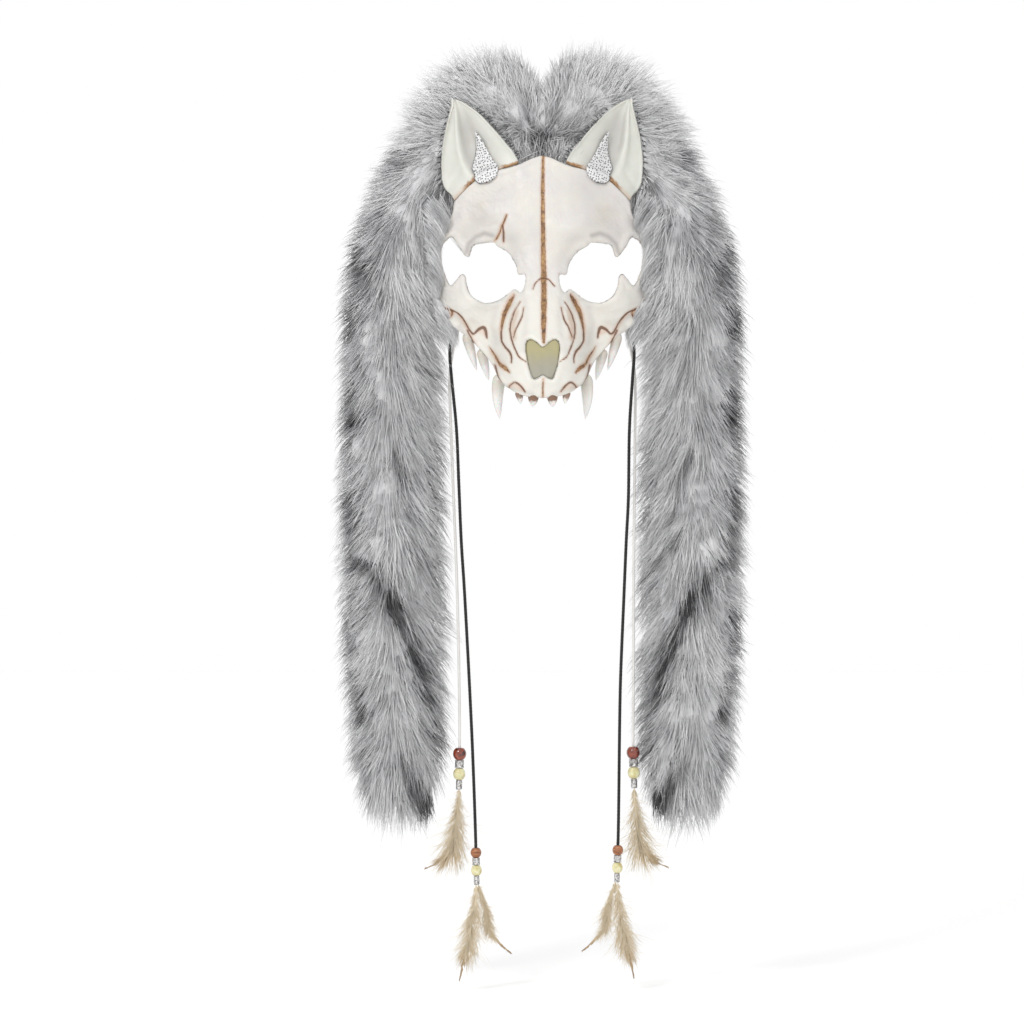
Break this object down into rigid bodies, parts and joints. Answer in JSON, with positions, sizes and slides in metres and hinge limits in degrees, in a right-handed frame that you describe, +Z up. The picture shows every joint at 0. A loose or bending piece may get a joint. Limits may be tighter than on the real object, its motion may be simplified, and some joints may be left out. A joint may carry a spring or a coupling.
{
  "type": "fox mask",
  "caption": "Half mask shaped as a canine skull with cupped ears, long fur falls at both sides and hanging cords with beads and feathers.",
  "frame": {"origin": "on the midline at eye level, in the plane of the mask's rim, where the mask sits on the face", "axes": "+Z up towards the crown, -Y out of the mask's face, +X to the viewer's right"},
  "size_m": [0.337, 0.1359, 0.7477],
  "materials": {
    "bone_resin": "satin painted resin with gold-brown stained grooves",
    "ear_resin": "satin ivory resin",
    "nose_olive": "matt grey olive",
    "silver_mesh": "pierced, glittering",
    "grey_fur": "long-haired faux fur with dark markings",
    "black_cord": "waxed cord",
    "pale_cord": "twisted cotton cord",
    "brown_bead": "glossy",
    "wood_bead": "polished",
    "cream_bead": "pearly",
    "silver_metal": "antique silver",
    "feather": "soft barbs and down"
  },
  "bodies": {
    "root": {"skull_mask": "bone_resin", "nose_plate": "nose_olive", "left_ear": "ear_resin", "left_ear_inlay": "silver_mesh", "left_fur_fall": "grey_fur", "right_ear": "ear_resin", "right_ear_inlay": "silver_mesh", "right_fur_fall": "grey_fur", "left_long_cord": "black_cord", "left_long_brown_bead": "wood_bead", "left_long_spacer": "silver_metal", "left_long_cream_bead": "cream_bead", "left_long_crimp": "silver_metal", "left_long_feather": "feather", "left_long_curl_feather": "feather", "right_long_cord": "black_cord", "right_long_brown_bead": "wood_bead", "right_long_spacer": "silver_metal", "right_long_cream_bead": "cream_bead", "right_long_crimp": "silver_metal", "right_long_feather": "feather", "right_long_curl_feather": "feather", "left_short_cord": "pale_cord", "left_short_brown_bead": "brown_bead", "left_short_spacer": "silver_metal", "left_short_cream_bead": "cream_bead", "left_short_crimp": "silver_metal", "left_short_feather": "feather", "right_short_cord": "pale_cord", "right_short_brown_bead": "brown_bead", "right_short_spacer": "silver_metal", "right_short_cream_bead": "cream_bead", "right_short_crimp": "silver_metal", "right_short_feather": "feather"}
  },
  "joints": []
}
